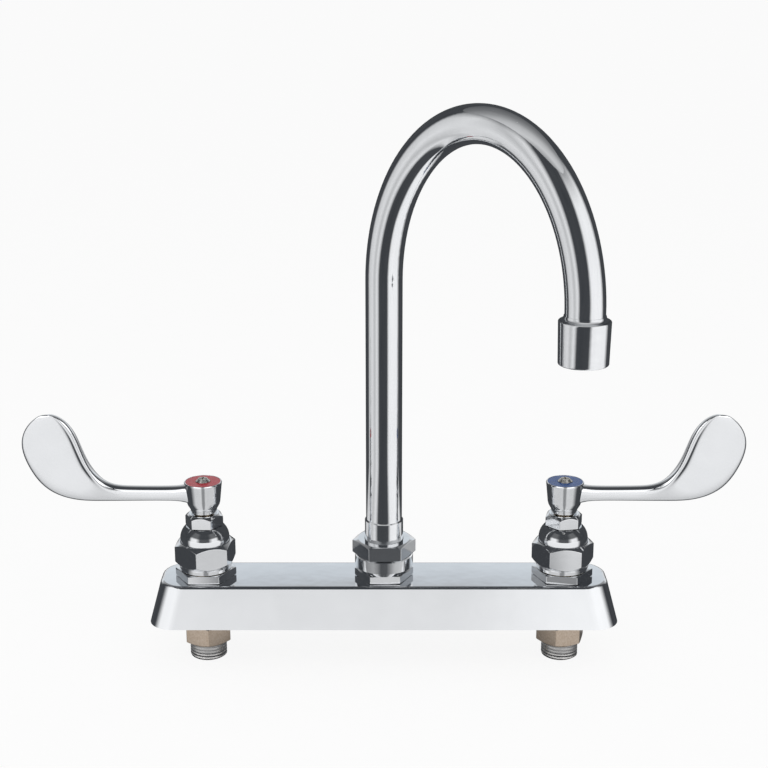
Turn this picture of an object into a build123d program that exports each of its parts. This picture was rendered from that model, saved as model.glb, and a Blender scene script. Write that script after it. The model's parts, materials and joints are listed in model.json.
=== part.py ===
"""Deck faucet with two wrist blade handles and a swinging gooseneck spout.

Millimetres, +Z up. The origin is on the deck, midway between the two inlets. The user stands at -Y.
"""

import math
import os

from build123d import *

# Layout: the inlets stand eight inches apart and the spout is midway between them
inlet_spacing = 203.2
inlet_x = {"hot": -inlet_spacing / 2, "cold": inlet_spacing / 2}

# Gaps shared by every fit
thread_gap = 0.05  # radial, between a nut and its thread
turn_gap = 0.05  # radial, between a shaft and the bore it turns in
solder_gap = 0.03  # radial, between a tube and its socket
face_gap = 0.05  # between two faces that slide on each other
stack_gap = 0.1  # between two pieces of a stack that stand on each other
free_gap = 0.3  # where pieces pass without touching

# Threaded necks that stand up through the cover
neck_r = 13.0
neck_wall = 1.8
neck_rise = 10.0  # above the jam nut
body_shoulder = 1.6
body_r = neck_r + body_shoulder

# Deck cover: drafted sides, rounded corners, hollow underneath
cover_height = 21.5
cover_margin = 4.7  # from a neck hole to the long edge of the top
cover_end = 24.9  # from an inlet to the short edge of the top
cover_front_draft = 10.0
cover_end_draft = 5.5
cover_top_length = inlet_spacing + 2 * cover_end
cover_top_depth = 2 * (neck_r + free_gap + cover_margin)
cover_foot_length = cover_top_length + 2 * cover_end_draft
cover_foot_depth = cover_top_depth + 2 * cover_front_draft
cover_corner = 14.0
cover_edge = 2.0
cover_wall = 2.2
cover_roof = cover_height - cover_wall

# Hexagons that clamp the cover down
jam_height = 5.0
jam_wall = 2.0
jam_turn = {"hot": 1.0, "cold": -7.0}
spout_jam_wall = 1.5
spout_jam_turn = 2.5
jam_foot_bevel = 0.4
jam_bevel = 1.0
jam_top = cover_height + jam_height

# Feed tubes between the valve bodies and the spout post
feed_r = 6.5
feed_wall = 1.0
feed_step = 0.5
feed_boss_wall = 1.7
feed_boss_length = 5.4
feed_socket_depth = 5.0
feed_bore_r = feed_r - feed_wall
feed_port_r = feed_bore_r - feed_step
feed_boss_r = feed_r + feed_boss_wall
feed_height = feed_boss_r + free_gap
feed_boss_reach = body_r + feed_boss_length
feed_socket = feed_boss_reach - feed_socket_depth

# Inlets: hexagon and half inch straight pipe thread below the deck
shank_length = 6.0
inlet_hex_flats = 25.0
inlet_hex_height = 12.0
inlet_hex_bevel = 1.2
inlet_hex_turn = {"hot": 37.5, "cold": 14.5}
inlet_hex_top = -shank_length
inlet_hex_bottom = inlet_hex_top - inlet_hex_height
thread_r = 10.45
thread_depth = 0.8
thread_pitch = 25.4 / 14
thread_crest = 0.5
thread_root = 0.2
thread_turns = 5
thread_relief = 1.0
thread_lead = 0.5
thread_lead_step = 0.6
thread_root_r = thread_r - thread_depth
thread_start = inlet_hex_bottom - thread_relief
thread_last = thread_start - (thread_turns - 1) * thread_pitch - (thread_pitch + thread_crest) / 2
inlet_end = thread_last - thread_root / 2 - thread_lead
inlet_step = 0.15
inlet_wall = 2.25
inlet_spigot_r = thread_root_r - inlet_step
inlet_bore_r = thread_root_r - inlet_wall

# Valve: chamber, ceramic discs and cartridge inside the valve body
chamber_r = neck_r - neck_wall
chamber_floor = 4.0
chamber_top = jam_top + neck_rise
inlet_port_r = 5.5
seal_height = 2.0
stem_r = 5.0
water_gap = 1.2
cartridge_wall = 1.4
cartridge_guide_length = 12.5
cartridge_guide_lead = 1.0
cartridge_neck_length = 14.5
cartridge_flange_step = 0.2
cartridge_flange_height = 2.0
cartridge_r = chamber_r - water_gap
cartridge_bore_r = cartridge_r - cartridge_wall
cartridge_guide_r = chamber_r - thread_gap
cartridge_guide_bottom = chamber_top - cartridge_guide_length
cartridge_roof = chamber_top - cartridge_neck_length
cartridge_flange_r = neck_r - cartridge_flange_step
cartridge_top = chamber_top + cartridge_flange_height
window_width = 8.0
window_rise = 5.0
window_corner = 1.5
window_drop = 5.0
window_height = cartridge_roof - window_drop
disc_height = 3.0
disc_port_r = 2.4
disc_port_offset = 4.8
drive_length = 12.0
drive_width = 3.0
drive_depth = 1.2
drive_root = 2.0
drive_gap = 0.05
thrust_flange = 1.5
fixed_disc_bottom = chamber_floor + seal_height
fixed_disc_top = fixed_disc_bottom + disc_height
moving_disc_bottom = fixed_disc_top + face_gap
moving_disc_top = moving_disc_bottom + disc_height + drive_depth
moving_r = cartridge_bore_r - free_gap

# Bonnet, the hexagon nut that holds it down, and the gland nut on top
bonnet_flange_step = 1.4
bonnet_flange_height = 2.9
bonnet_step = 0.6
bonnet_flange_r = neck_r + bonnet_flange_step
bonnet_flange_top = cartridge_top + bonnet_flange_height
bonnet_r = bonnet_flange_r - bonnet_step
bonnet_nut_wall = 2.3
bonnet_nut_sides = 6
bonnet_nut_turn = {"hot": 20.0, "cold": 0.0}
bonnet_nut_lip = 1.55
bonnet_nut_bevel = 2.2
bonnet_nut_rim = 0.5
bonnet_skirt_wall = 1.9
bonnet_skirt_height = 2.4
bonnet_skirt_flare = 0.3
bonnet_facet_start = 5.5
bonnet_nut_flats = 2 * (neck_r + bonnet_nut_wall)
bonnet_nut_corner_r = bonnet_nut_flats / 2 / math.cos(math.pi / bonnet_nut_sides)
bonnet_nut_bottom = jam_top + 2 * stack_gap
bonnet_nut_top = bonnet_flange_top + face_gap + bonnet_nut_lip
bonnet_skirt_r = neck_r + bonnet_skirt_wall
bonnet_reveal = 0.4
dome_height = 8.6
dome_bulge = 1.16
bonnet_shoulder = bonnet_nut_top + bonnet_reveal
bonnet_top = bonnet_shoulder + dome_height
packing_wall = 2.5
packing_height = 2.5
gland_depth = 3.5
gland_height = 7.4
gland_wall = 1.9
gland_turn = {"hot": -4.0, "cold": 12.0}
gland_foot_bevel = 0.8
gland_bevel = 1.8
bonnet_crown = 2.9
gland_spigot_r = stem_r + packing_wall
gland_flats = 2 * (gland_spigot_r + gland_wall)
gland_top = bonnet_top + gland_height
bonnet_top_r = gland_spigot_r + bonnet_crown
packing_top = bonnet_top - gland_depth
packing_bottom = packing_top - packing_height

# Wrist blade lever: hub, arm and blade, with its ring and screw
hub_gap = 0.8
hub_top_r = 10.6
hub_edge = 0.6
hub_rim = 0.8
hub_web = 2.2
hub_bottom = gland_top + hub_gap
hub_flank = [(7.2, 0.0), (7.4, 1.6), (8.6, 3.8), (9.4, 6.0)]  # radius, height above the hub's foot
socket_size = 7.2
socket_corner = 0.8
socket_gap = 0.05
socket_depth = 12.8
socket_top = hub_bottom + socket_depth
screw_r = 1.8
screw_length = 11.3
screw_head_r = 4.1
screw_head_height = 4.4
screw_head_bevel = 1.5
screw_pocket = 2.7
screw_hole_end = 1.0
recess_length = 4.4
recess_width = 1.0
recess_depth = 1.3
screw_seat = socket_top + stack_gap + hub_web
screw_top = screw_seat + screw_head_height
screw_end = screw_seat - screw_length
hub_top = screw_seat + screw_pocket
ring_r = hub_top_r - hub_rim
ring_height = 1.1
ring_edge = 0.15
ring_bottom = hub_top - ring_height
blade_thickness = 5.2
blade_flat = 0.8  # left between the two rounded edges
blade_edge = (blade_thickness - blade_flat) / 2
blade_outline = [  # distance from the hub's axis, height above the hub's foot
    (52.0, 9.2), (58.0, 7.2), (65.0, 6.6), (72.0, 7.1), (81.5, 9.8), (91.0, 16.9), (97.2, 26.8),
    (100.6, 38.6), (98.6, 47.0), (92.4, 53.8), (84.0, 56.6), (76.4, 54.2), (71.2, 47.0), (67.4, 36.5),
    (63.2, 25.9), (58.0, 19.2), (52.0, 14.4),
]
arm_path = [
    (4.0, 10.9), (20.0, 10.9), (38.0, 11.0), (49.0, 12.0), (57.6, 15.8), (63.4, 21.4), (67.4, 28.4),
    (70.8, 36.8), (74.4, 45.8),
]
arm_rise = 8.0
arm_depth = 8.2
arm_flare = 5.0
arm_flare_length = 7.0
arm_taper = 2.4
arm_stations = 13

# Centre stack under the spout
collar_wall = 3.5
collar_height = 8.8
collar_edge = 0.5
collar_foot = 0.7
collar_foot_height = 1.9
collar_r = neck_r + collar_wall
collar_bottom = jam_top + stack_gap
collar_top = collar_bottom + collar_height
swivel_wall = 2.6
swivel_turn = 2.0
swivel_foot_bevel = 0.8
swivel_bevel = 1.5
swivel_lip_height = 2.3
swivel_flats = 2 * (neck_r + swivel_wall)
swivel_bottom = collar_top + stack_gap
post_lift = 0.2  # above the deck
post_floor = 2.0
post_wall = 3.45
post_step = 0.95
post_lead = 1.0
post_rise = 4.0  # above the foot of the swivel nut
post_bore_r = neck_r - post_wall
post_chamber_r = post_bore_r - post_step
post_chamber_floor = post_lift + post_floor
post_top = swivel_bottom + post_rise
thrust_height = 0.7
thrust_top = post_top + thrust_height
spigot_length = 17.0
spigot_wall = 1.1
spigot_drop = 2.5
spigot_r = post_bore_r - turn_gap
spigot_bottom = post_top - spigot_length
post_chamber_top = spigot_bottom - spigot_drop
stem_flange_step = 0.4
stem_flange_height = 1.35
stem_flange_r = neck_r - stem_flange_step
stem_flange_bottom = thrust_top + face_gap
stem_flange_top = stem_flange_bottom + stem_flange_height
swivel_lip = stem_flange_top + 2 * face_gap
swivel_top = swivel_lip + swivel_lip_height
o_ring_r = 0.75
o_ring_groove = 2.0
o_ring_first = 4.0
o_ring_spacing = 6.0
o_ring_groove_r = spigot_r - 2 * o_ring_r - 2 * face_gap
o_ring_heights = (spigot_bottom + o_ring_first, spigot_bottom + o_ring_first + o_ring_spacing)
spigot_bore_r = o_ring_groove_r - spigot_wall

# Gooseneck: upright leg, arch of half an ellipse, short leg down to the outlet
tube_r = 10.1
tube_wall = 1.1
tube_bore_r = tube_r - tube_wall
tube_seat = 0.8
tube_foot = stem_flange_top + tube_seat
ferrule_wall = 0.7
ferrule_height = 11.9
ferrule_edge = 0.5
ferrule_bevel = 0.4
ferrule_r = tube_r + ferrule_wall
ferrule_top = swivel_top + ferrule_height
leg_height = 137.1
spring_height = ferrule_top + leg_height
reach = 127.0
rise = 87.5
swing = math.radians(-39.7)  # from +X towards the user
outlet_x = reach * math.cos(swing)
outlet_y = reach * math.sin(swing)

# Outlet sleeve and aerator
sleeve_drop = 0.4
sleeve_wall = 1.5
sleeve_lip = 0.35
sleeve_rim = 0.6
flare_height = 2.2
flare_bulge = 0.47
aerator_height = 22.3
aerator_wall = 1.5
aerator_taper = 0.5
aerator_edge = 0.8
aerator_lip = 0.7
aerator_lip_height = 1.4
insert_height = 2.6
screen_height = 0.5
washer_height = 1.5
washer_width = 2.5
sleeve_top = spring_height - sleeve_drop
flare_bottom = sleeve_top - flare_height
aerator_top = flare_bottom - stack_gap
aerator_bottom = aerator_top - aerator_height
aerator_lip_top = aerator_bottom + aerator_lip_height
insert_top = aerator_lip_top + insert_height
screen_top = insert_top + screen_height
sleeve_bottom = screen_top + washer_height
sleeve_thread_r = tube_r + sleeve_wall
sleeve_rim_r = sleeve_thread_r + sleeve_rim
aerator_top_r = sleeve_thread_r + aerator_wall
aerator_bottom_r = aerator_top_r - aerator_taper
insert_r = sleeve_thread_r - stack_gap
aerator_lip_r = insert_r - aerator_lip
washer_bore_r = insert_r - washer_width
screen_count = 7
screen_rim = 3.0
screen_hole = 1.3
screen_pitch = (insert_r - screen_rim) * math.sqrt(2) / (screen_count - 1)
cell_count = 5
cell_r = 1.2
cell_rim = 0.7
cell_pitch = (insert_r - cell_rim - cell_r) * math.sqrt(2) / (cell_count - 1)

os.makedirs("parts", exist_ok=True)


def upright(x=0.0, y=0.0):
    """The vertical axis at x, y."""
    return Axis((x, y, 0), (0, 0, 1))


def beside(x=0.0, y=0.0):
    """The plane whose first direction is the radius and second is the height, at x, y."""
    return Plane(origin=(x, y, 0), x_dir=(1, 0, 0), z_dir=(0, -1, 0))


def outline(points, x=0.0, y=0.0):
    """A closed outline of (radius, height) points beside the vertical axis at x, y."""
    with BuildSketch(beside(x, y)) as face:
        with BuildLine():
            Polyline(*points, close=True)
        make_face()
    return face.sketch


def ring(inner, outer, low, high):
    """The outline of a plain ring, sleeve or hole."""
    return [(inner, low), (outer, low), (outer, high), (inner, high)]


def nut_blank(flats, sides, turn, low, high, x, bevel_low, bevel_high):
    """A solid nut with its corners turned off at both ends."""
    face_r = flats / 2 - 2 * stack_gap
    corner_r = flats / 2 / math.cos(math.pi / sides) + stack_gap
    with BuildPart() as blank:
        with BuildSketch(Plane.XY.offset(low)):
            with Locations((x, 0)):
                RegularPolygon(flats / 2, sides, major_radius=False, rotation=turn)
        extrude(amount=high - low)
        turned = [
            (0, low), (face_r, low), (corner_r, low + bevel_low), (corner_r, high - bevel_high),
            (face_r, high), (0, high)]
        revolve(outline(turned, x), axis=upright(x), mode=Mode.INTERSECT)
    return blank.part


def cover_section(height, inset):
    """The cover's length, depth and corner radius at a height, less an inset all round."""
    share = height / cover_height
    length = cover_foot_length + (cover_top_length - cover_foot_length) * share - 2 * inset
    depth = cover_foot_depth + (cover_top_depth - cover_foot_depth) * share - 2 * inset
    return length, depth, cover_corner - inset


def save(part, label):
    """Names a finished piece and writes it."""
    part.label = label
    export_step(part, f"parts/{label}.step")


# Deck cover
with BuildPart() as deck_cover:
    with BuildSketch():
        RectangleRounded(*cover_section(0, 0))
    with BuildSketch(Plane.XY.offset(cover_height)):
        RectangleRounded(*cover_section(cover_height, 0))
    loft()
    fillet(deck_cover.faces().sort_by(Axis.Z)[-1].edges(), cover_edge)
    with BuildSketch():
        RectangleRounded(*cover_section(0, cover_wall))
    with BuildSketch(Plane.XY.offset(cover_roof)):
        RectangleRounded(*cover_section(cover_roof, cover_wall))
    loft(mode=Mode.SUBTRACT)
    with BuildSketch(Plane.XY.offset(cover_height)):
        with Locations((inlet_x["hot"], 0), (0, 0), (inlet_x["cold"], 0)):
            Circle(neck_r + free_gap)
    extrude(amount=-2 * cover_wall, mode=Mode.SUBTRACT)
save(deck_cover.part, "deck_cover")

# The two valves, alike but for the side that the feed tube and the blade are on
for side, x in inlet_x.items():
    outward = math.copysign(1.0, x)
    axis = upright(x)
    feed_plane = Plane(origin=(x, 0, feed_height), x_dir=(0, 1, 0), z_dir=(-outward, 0, 0))
    blade_plane = Plane(origin=(x, 0, hub_bottom), x_dir=(outward, 0, 0), z_dir=(0, -outward, 0))

    # Brass body: shank through the deck, shoulder under the cover, threaded neck above it
    with BuildPart() as valve_body:
        revolve(outline([
            (0, inlet_hex_top), (body_r, inlet_hex_top), (body_r, cover_roof), (neck_r, cover_roof),
            (neck_r, chamber_top), (0, chamber_top)], x), axis=axis)
        with BuildSketch(feed_plane):
            Circle(feed_boss_r)
        extrude(amount=feed_boss_reach)
        spigot_hole_r = inlet_spigot_r + thread_gap
        revolve(outline([
            (0, inlet_hex_top), (spigot_hole_r, inlet_hex_top), (spigot_hole_r, 0),
            (inlet_port_r, 0), (inlet_port_r, chamber_floor), (chamber_r, chamber_floor),
            (chamber_r, chamber_top), (0, chamber_top)], x), axis=axis, mode=Mode.SUBTRACT)
        with BuildSketch(feed_plane):
            Circle(feed_port_r)
        extrude(amount=feed_boss_reach, mode=Mode.SUBTRACT)
        with BuildSketch(feed_plane.offset(feed_socket)):
            Circle(feed_r + solder_gap)
        extrude(amount=feed_socket_depth, mode=Mode.SUBTRACT)
    save(valve_body.part, f"{side}_valve_body")

    # Inlet: spigot into the body, hexagon, and a thread drawn as rings of the true pitch
    thread = []
    for turn in range(thread_turns):
        crest = thread_start - turn * thread_pitch
        groove = crest - (thread_pitch + thread_crest) / 2
        thread += [(thread_r, crest), (thread_r, crest - thread_crest)]
        thread += [(thread_root_r, groove + thread_root / 2), (thread_root_r, groove - thread_root / 2)]
    with BuildPart() as inlet:
        add(nut_blank(inlet_hex_flats, 6, inlet_hex_turn[side], inlet_hex_bottom, inlet_hex_top, x,
                      inlet_hex_bevel, inlet_hex_bevel))
        revolve(outline([
            (0, -face_gap), (inlet_spigot_r, -face_gap),
            (inlet_spigot_r, inlet_hex_bottom - thread_root), *thread,
            (thread_root_r - thread_lead_step, inlet_end), (0, inlet_end)], x), axis=axis)
        bore = ring(0, inlet_bore_r, inlet_end, -face_gap)
        revolve(outline(bore, x), axis=axis, mode=Mode.SUBTRACT)
    save(inlet.part, f"{side}_inlet")

    # Feed tube to the spout post
    with BuildPart() as feed_tube:
        with BuildSketch(feed_plane.offset(feed_socket + face_gap)):
            Circle(feed_r)
            Circle(feed_bore_r, mode=Mode.SUBTRACT)
        extrude(amount=inlet_spacing / 2 - 2 * (feed_socket + face_gap))
    save(feed_tube.part, f"{side}_feed_tube")

    # Hexagon that clamps the cover to the body
    with BuildPart() as jam_nut:
        add(nut_blank(2 * (neck_r + jam_wall), 6, jam_turn[side], cover_height, jam_top, x,
                      jam_foot_bevel, jam_bevel))
        hole = ring(0, neck_r + thread_gap, cover_height, jam_top)
        revolve(outline(hole, x), axis=axis, mode=Mode.SUBTRACT)
    save(jam_nut.part, f"{side}_jam_nut")

    # Rubber seat seal under the fixed disc
    with BuildPart() as seat_seal:
        seal = ring(inlet_port_r, cartridge_r - free_gap, chamber_floor, fixed_disc_bottom)
        revolve(outline(seal, x), axis=axis)
    save(seat_seal.part, f"{side}_seat_seal")

    # Fixed ceramic disc with two ports
    with BuildPart() as fixed_disc:
        with BuildSketch(Plane.XY.offset(fixed_disc_bottom)):
            with Locations((x, 0)):
                Circle(cartridge_bore_r - thread_gap)
            with Locations((x, -disc_port_offset), (x, disc_port_offset)):
                Circle(disc_port_r, mode=Mode.SUBTRACT)
        extrude(amount=disc_height)
    save(fixed_disc.part, f"{side}_fixed_disc")

    # Moving ceramic disc, a quarter turn from its open position, with a drive slot on top
    with BuildPart() as moving_disc:
        with BuildSketch(Plane.XY.offset(moving_disc_bottom)):
            with Locations((x, 0)):
                Circle(moving_r)
            with Locations((x - disc_port_offset, 0), (x + disc_port_offset, 0)):
                Circle(disc_port_r, mode=Mode.SUBTRACT)
        extrude(amount=moving_disc_top - moving_disc_bottom)
        with BuildSketch(Plane.XY.offset(moving_disc_top)):
            with Locations((x, 0)):
                Rectangle(drive_width, drive_length)
        extrude(amount=-drive_depth, mode=Mode.SUBTRACT)
    save(moving_disc.part, f"{side}_moving_disc")

    # Cartridge sleeve around the discs, guided in the chamber and clamped by its flange
    with BuildPart() as cartridge:
        stem_hole_r = stem_r + turn_gap
        revolve(outline([
            (cartridge_bore_r, fixed_disc_bottom), (cartridge_r, fixed_disc_bottom),
            (cartridge_r, cartridge_guide_bottom),
            (cartridge_guide_r, cartridge_guide_bottom + cartridge_guide_lead),
            (cartridge_guide_r, chamber_top), (cartridge_flange_r, chamber_top),
            (cartridge_flange_r, cartridge_top), (stem_hole_r, cartridge_top),
            (stem_hole_r, cartridge_roof), (cartridge_bore_r, cartridge_roof)], x), axis=axis)
        with BuildSketch(Plane(origin=(x, 0, window_height), x_dir=(1, 0, 0), z_dir=(0, -1, 0))):
            RectangleRounded(window_width, window_rise, window_corner)
        extrude(amount=2 * cartridge_r, both=True, mode=Mode.SUBTRACT)
    save(cartridge.part, f"{side}_cartridge")

    # Spindle: drive lug, thrust flange under the cartridge roof, round stem, square end for the lever
    with BuildPart() as spindle:
        foot = moving_disc_top + face_gap
        flange_top = cartridge_roof - face_gap
        shoulder = hub_bottom - stack_gap
        revolve(outline([
            (0, foot), (stem_r, foot), (stem_r, cartridge_roof - thrust_flange),
            (moving_r, cartridge_roof - thrust_flange), (moving_r, flange_top), (stem_r, flange_top),
            (stem_r, shoulder), (0, shoulder)], x), axis=axis)
        with BuildSketch(Plane.XY.offset(foot - drive_depth)):
            with Locations((x, 0)):
                Rectangle(drive_width - 2 * drive_gap, drive_length - 2 * drive_gap)
        extrude(amount=drive_depth + drive_root)
        with BuildSketch(Plane.XY.offset(shoulder - stack_gap)):
            with Locations((x, 0)):
                RectangleRounded(socket_size, socket_size, socket_corner)
        extrude(amount=socket_top - shoulder + stack_gap)
        with BuildSketch(Plane.XY.offset(socket_top)):
            with Locations((x, 0)):
                Circle(screw_r + thread_gap)
        extrude(amount=screw_end - screw_hole_end - socket_top, mode=Mode.SUBTRACT)
    save(spindle.part, f"{side}_spindle")

    # Bonnet: clamped flange and a dome, bored for the stem and its packing
    with BuildPart() as bonnet:
        with BuildSketch(beside(x)):
            with BuildLine():
                Polyline((stem_r + free_gap, cartridge_top), (bonnet_flange_r, cartridge_top),
                         (bonnet_flange_r, bonnet_flange_top), (bonnet_r, bonnet_flange_top),
                         (bonnet_r, bonnet_shoulder))
                SagittaArc((bonnet_r, bonnet_shoulder), (bonnet_top_r, bonnet_top), -dome_bulge)
                Polyline((bonnet_top_r, bonnet_top), (gland_spigot_r + thread_gap, bonnet_top),
                         (gland_spigot_r + thread_gap, packing_bottom),
                         (stem_r + free_gap, packing_bottom), (stem_r + free_gap, cartridge_top))
            make_face()
        revolve(axis=axis)
    save(bonnet.part, f"{side}_bonnet")

    # Hexagon nut that screws onto the neck and holds the bonnet down by its flange
    with BuildPart() as bonnet_nut:
        with BuildSketch(Plane.XY.offset(bonnet_nut_bottom)):
            with Locations((x, 0)):
                RegularPolygon(bonnet_nut_flats / 2, bonnet_nut_sides, major_radius=False,
                               rotation=bonnet_nut_turn[side])
        extrude(amount=bonnet_nut_top - bonnet_nut_bottom)
        corner_r = bonnet_nut_corner_r + stack_gap
        revolve(outline([
            (0, bonnet_nut_bottom), (bonnet_skirt_r, bonnet_nut_bottom),
            (bonnet_skirt_r + bonnet_skirt_flare, bonnet_nut_bottom + bonnet_skirt_height),
            (corner_r, bonnet_nut_bottom + bonnet_facet_start),
            (corner_r, bonnet_nut_top - bonnet_nut_bevel),
            (bonnet_nut_flats / 2 - bonnet_nut_rim, bonnet_nut_top),
            (0, bonnet_nut_top)], x), axis=axis, mode=Mode.INTERSECT)
        pocket_r = bonnet_flange_r + thread_gap
        pocket_top = bonnet_flange_top + face_gap
        revolve(outline([
            (0, bonnet_nut_bottom), (neck_r + thread_gap, bonnet_nut_bottom),
            (neck_r + thread_gap, chamber_top), (pocket_r, chamber_top), (pocket_r, pocket_top),
            (bonnet_r + thread_gap, pocket_top), (bonnet_r + thread_gap, bonnet_nut_top),
            (0, bonnet_nut_top)], x), axis=axis, mode=Mode.SUBTRACT)
    save(bonnet_nut.part, f"{side}_bonnet_nut")

    # Packing around the stem, and the gland nut that presses it down
    with BuildPart() as stem_packing:
        packing = ring(stem_r + turn_gap, gland_spigot_r, packing_bottom, packing_top)
        revolve(outline(packing, x), axis=axis)
    save(stem_packing.part, f"{side}_stem_packing")

    with BuildPart() as gland_nut:
        add(nut_blank(gland_flats, 6, gland_turn[side], bonnet_top, gland_top, x,
                      gland_foot_bevel, gland_bevel))
        revolve(outline(ring(0, gland_spigot_r, packing_top, bonnet_top), x), axis=axis)
        hole = ring(0, stem_r + turn_gap, packing_top, gland_top)
        revolve(outline(hole, x), axis=axis, mode=Mode.SUBTRACT)
    save(gland_nut.part, f"{side}_gland_nut")

    # Lever: flat blade with rounded edges, an arm that carries on as a rib along the blade, and the hub
    with BuildPart() as lever:
        with BuildSketch(blade_plane.offset(-blade_thickness / 2)):
            with BuildLine():
                edge = Spline(*blade_outline)
                Line(edge @ 1, edge @ 0)
            make_face()
        extrude(amount=blade_thickness)
        fillet(lever.edges().filter_by(GeomType.BSPLINE), blade_edge)
        with BuildLine(blade_plane, mode=Mode.PRIVATE) as arm_line:
            Spline(*arm_path, tangents=((1, 0), (0.36, 0.93)))
        spine = arm_line.wires()[0]
        for station in range(arm_stations):
            share = station / (arm_stations - 1)
            grow = arm_flare * math.exp(-((share * spine.length / arm_flare_length) ** 2))
            grow -= arm_taper * max(0, 2 * share - 1) ** 2
            with BuildSketch(Plane(spine @ share, x_dir=(0, 1, 0), z_dir=spine % share)):
                Ellipse((arm_depth + grow) / 2, (arm_rise + grow) / 2)
        loft()
        flank = [(radius, hub_bottom + height) for radius, height in hub_flank]
        revolve(outline([
            (0, hub_bottom), *flank, (hub_top_r, hub_top - hub_edge),
            (hub_top_r - hub_edge / 2, hub_top), (0, hub_top)], x), axis=axis)
        with BuildSketch(Plane.XY.offset(hub_bottom)):
            with Locations((x, 0)):
                socket_hole = socket_size + 2 * socket_gap
                RectangleRounded(socket_hole, socket_hole, socket_corner)
        extrude(amount=socket_depth + stack_gap, mode=Mode.SUBTRACT)
        revolve(outline([
            (0, socket_top), (screw_r + free_gap, socket_top), (screw_r + free_gap, screw_seat),
            (screw_head_r + stack_gap, screw_seat), (screw_head_r + stack_gap, ring_bottom),
            (ring_r + face_gap, ring_bottom), (ring_r + face_gap, hub_top),
            (0, hub_top)], x), axis=axis, mode=Mode.SUBTRACT)
    save(lever.part, f"{side}_lever")

    # Coloured ring let into the top of the hub
    with BuildPart() as index_ring:
        revolve(outline(ring(screw_head_r + stack_gap, ring_r, ring_bottom, hub_top), x), axis=axis)
        chamfer(index_ring.edges().group_by(Axis.Z)[-1], ring_edge)
    save(index_ring.part, f"{side}_index_ring")

    # Screw through the hub into the spindle, with a cross recess
    with BuildPart() as screw:
        revolve(outline([
            (0, screw_end), (screw_r, screw_end), (screw_r, screw_seat), (screw_head_r, screw_seat),
            (screw_head_r, screw_top - screw_head_bevel), (screw_head_r - screw_head_bevel, screw_top),
            (0, screw_top)], x), axis=axis)
        with BuildSketch(Plane.XY.offset(screw_top)):
            with Locations((x, 0)):
                Rectangle(recess_length, recess_width)
                Rectangle(recess_width, recess_length)
        extrude(amount=-recess_depth, mode=Mode.SUBTRACT)
    save(screw.part, f"{side}_screw")

# Spout post: tee between the feed tubes, with a neck through the cover that carries the spout
with BuildPart() as spout_post:
    revolve(outline([
        (0, post_lift), (body_r, post_lift), (body_r, cover_roof), (neck_r, cover_roof),
        (neck_r, post_top), (0, post_top)]), axis=upright())
    with BuildSketch(Plane.YZ.offset(-feed_boss_reach)):
        with Locations((0, feed_height)):
            Circle(feed_boss_r)
    extrude(amount=2 * feed_boss_reach)
    revolve(outline([
        (0, post_chamber_floor), (post_chamber_r, post_chamber_floor), (post_chamber_r, post_chamber_top),
        (post_bore_r, post_chamber_top + post_lead), (post_bore_r, post_top), (0, post_top)]),
        axis=upright(), mode=Mode.SUBTRACT)
    with BuildSketch(Plane.YZ.offset(-feed_boss_reach)):
        with Locations((0, feed_height)):
            Circle(feed_port_r)
    extrude(amount=2 * feed_boss_reach, mode=Mode.SUBTRACT)
    with BuildSketch(Plane.YZ.offset(feed_socket), Plane.YZ.offset(-feed_boss_reach)):
        with Locations((0, feed_height)):
            Circle(feed_r + solder_gap)
    extrude(amount=feed_socket_depth, mode=Mode.SUBTRACT)
save(spout_post.part, "spout_post")

# Hexagon that clamps the cover to the post
with BuildPart() as spout_jam_nut:
    add(nut_blank(2 * (neck_r + spout_jam_wall), 6, spout_jam_turn, cover_height, jam_top, 0,
                  jam_foot_bevel, jam_bevel))
    post_hole = ring(0, neck_r + thread_gap, cover_height, jam_top)
    revolve(outline(post_hole), axis=upright(), mode=Mode.SUBTRACT)
save(spout_jam_nut.part, "spout_jam_nut")

# Round collar between the jam nut and the swivel nut
with BuildPart() as spout_collar:
    revolve(outline([
        (neck_r + thread_gap, collar_bottom), (collar_r - collar_foot, collar_bottom),
        (collar_r, collar_bottom + collar_foot_height), (collar_r, collar_top - collar_edge),
        (collar_r - collar_edge, collar_top), (neck_r + thread_gap, collar_top)]), axis=upright())
save(spout_collar.part, "spout_collar")

# Swivel nut: its lip holds the flange of the spout stem down but lets it turn
with BuildPart() as swivel_nut:
    add(nut_blank(swivel_flats, 6, swivel_turn, swivel_bottom, swivel_top, 0,
                  swivel_foot_bevel, swivel_bevel))
    revolve(outline([
        (0, swivel_bottom), (neck_r + thread_gap, swivel_bottom), (neck_r + thread_gap, swivel_lip),
        (ferrule_r + turn_gap, swivel_lip), (ferrule_r + turn_gap, swivel_top), (0, swivel_top)]),
        axis=upright(), mode=Mode.SUBTRACT)
save(swivel_nut.part, "swivel_nut")

# Thrust washer on top of the post, under the flange of the spout stem
with BuildPart() as thrust_washer:
    revolve(outline(ring(spigot_r + free_gap, stem_flange_r, post_top, thrust_top)), axis=upright())
save(thrust_washer.part, "thrust_washer")

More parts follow.
